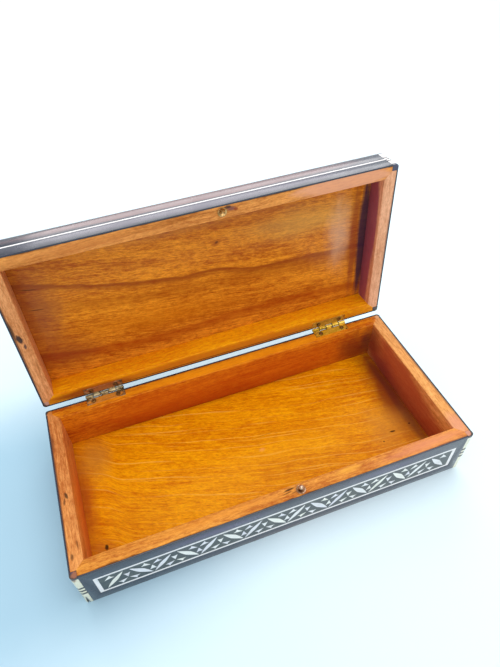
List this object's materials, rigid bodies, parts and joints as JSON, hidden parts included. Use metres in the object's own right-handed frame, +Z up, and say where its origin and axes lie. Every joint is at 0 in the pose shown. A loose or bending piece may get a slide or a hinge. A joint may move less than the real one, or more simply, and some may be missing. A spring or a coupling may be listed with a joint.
{
  "type": "inlaid wooden box",
  "caption": "Long shallow wooden box with a hinged lid, dark veneer outside and bone-inlaid zigzag bands, varnished wood inside.",
  "frame": {"origin": "middle of the box's underside, on the surface it stands on", "axes": "+X along the box's length, +Y towards the hinges at the back, +Z up; the lid stands open by 95 degrees"},
  "size_m": [0.24, 0.14, 0.1483],
  "materials": {
    "band_ground": "polished",
    "bone": "polished bone",
    "catch_brass": "worn",
    "dark_veneer": "polished",
    "ebony": "polished",
    "floor_wood": "varnished",
    "hinge_brass": "worn",
    "lid_board_wood": "varnished",
    "nail_brass": "tarnished",
    "tarnished_brass": "tarnished",
    "wall_wood": "varnished"
  },
  "bodies": {
    "base": {"base_back_veneer": "dark_veneer", "base_back_wall": "wall_wood", "base_corner_back_left": "bone", "base_corner_back_right": "bone", "base_corner_ebony": "ebony", "base_corner_front_left": "bone", "base_corner_front_right": "bone", "base_floor": "floor_wood", "base_front_veneer": "dark_veneer", "base_front_wall": "wall_wood", "base_hinge_nails": "nail_brass", "base_left_veneer": "dark_veneer", "base_left_wall": "wall_wood", "base_right_veneer": "dark_veneer", "base_right_wall": "wall_wood", "catch_stud": "catch_brass", "front_band_border": "bone", "front_band_figures": "bone", "front_band_ground": "band_ground", "hinge_left_base_leaf": "tarnished_brass", "hinge_left_pin": "tarnished_brass", "hinge_right_base_leaf": "hinge_brass", "hinge_right_pin": "hinge_brass", "left_band_border": "bone", "left_band_figures": "bone", "left_band_ground": "band_ground", "right_band_border": "bone", "right_band_figures": "bone", "right_band_ground": "band_ground"},
    "lid": {"catch_cup": "catch_brass", "hinge_left_lid_leaf": "tarnished_brass", "hinge_right_lid_leaf": "hinge_brass", "lid_back_veneer": "dark_veneer", "lid_back_wall": "wall_wood", "lid_band_border": "bone", "lid_band_figures": "bone", "lid_band_ground": "band_ground", "lid_board": "lid_board_wood", "lid_corner_back_left": "bone", "lid_corner_back_right": "bone", "lid_corner_ebony": "ebony", "lid_corner_front_left": "bone", "lid_corner_front_right": "bone", "lid_front_veneer": "dark_veneer", "lid_front_wall": "wall_wood", "lid_hinge_nails": "nail_brass", "lid_left_veneer": "dark_veneer", "lid_left_wall": "wall_wood", "lid_right_veneer": "dark_veneer", "lid_right_wall": "wall_wood", "lid_side_strings": "bone", "lid_top_string": "bone", "lid_top_veneer": "dark_veneer"}
  },
  "joints": [
    {"name": "lid_hinge", "type": "hinge", "parent": "base", "child": "lid", "pos_m": [0, 0.057, 0.0363], "axis": [-1, 0, 0], "range_deg": [-95, 85]}
  ]
}
